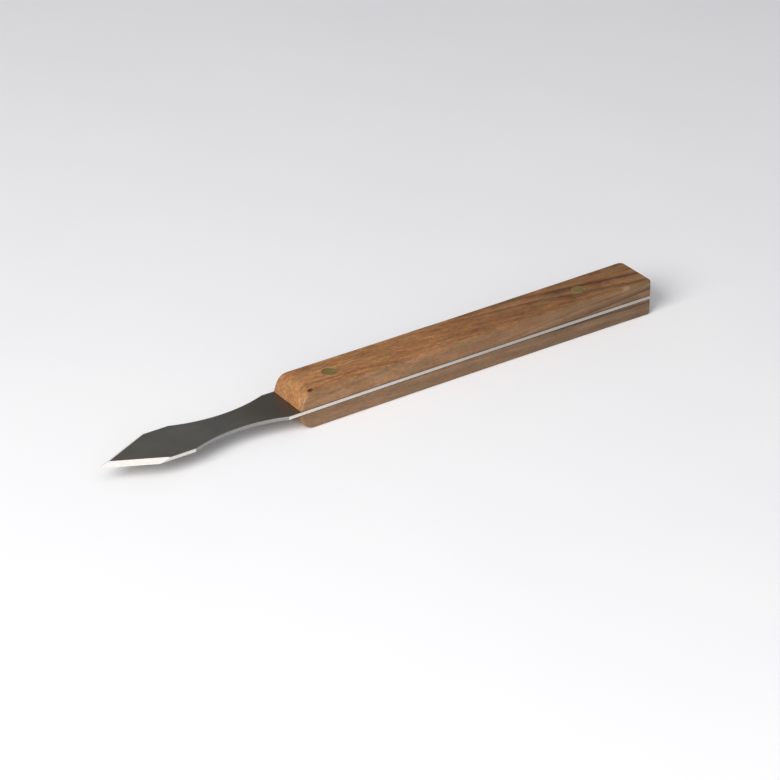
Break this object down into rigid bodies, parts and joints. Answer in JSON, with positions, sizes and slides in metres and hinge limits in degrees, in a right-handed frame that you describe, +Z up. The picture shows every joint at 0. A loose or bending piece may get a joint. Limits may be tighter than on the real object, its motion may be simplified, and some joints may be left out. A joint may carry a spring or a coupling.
{
  "type": "spear-point bench knife",
  "caption": "Slim bench knife with a spear-point steel blade, a ground waist, and a full tang between pinned wooden scales.",
  "frame": {"origin": "middle of the knife's length and width, at the height of the lower scale's flat underside", "axes": "+X from the blade's tip towards the butt, +Y across the blade, +Z up from the underside, out of the bevelled face"},
  "size_m": [0.1966, 0.016, 0.0123],
  "materials": {
    "tool_steel": "satin flat faces with bright ground bevels and edges",
    "upper_hardwood": "oiled open-pored hardwood with dark figure",
    "lower_hardwood": "oiled open-pored hardwood with dark figure",
    "glue": "dark cured epoxy",
    "pin_brass": "ground flush, tarnished"
  },
  "bodies": {
    "root": {"blade": "tool_steel", "lower_scale": "lower_hardwood", "upper_scale": "upper_hardwood", "lower_glue_film": "glue", "upper_glue_film": "glue", "front_pin": "pin_brass", "rear_pin": "pin_brass"}
  },
  "joints": []
}
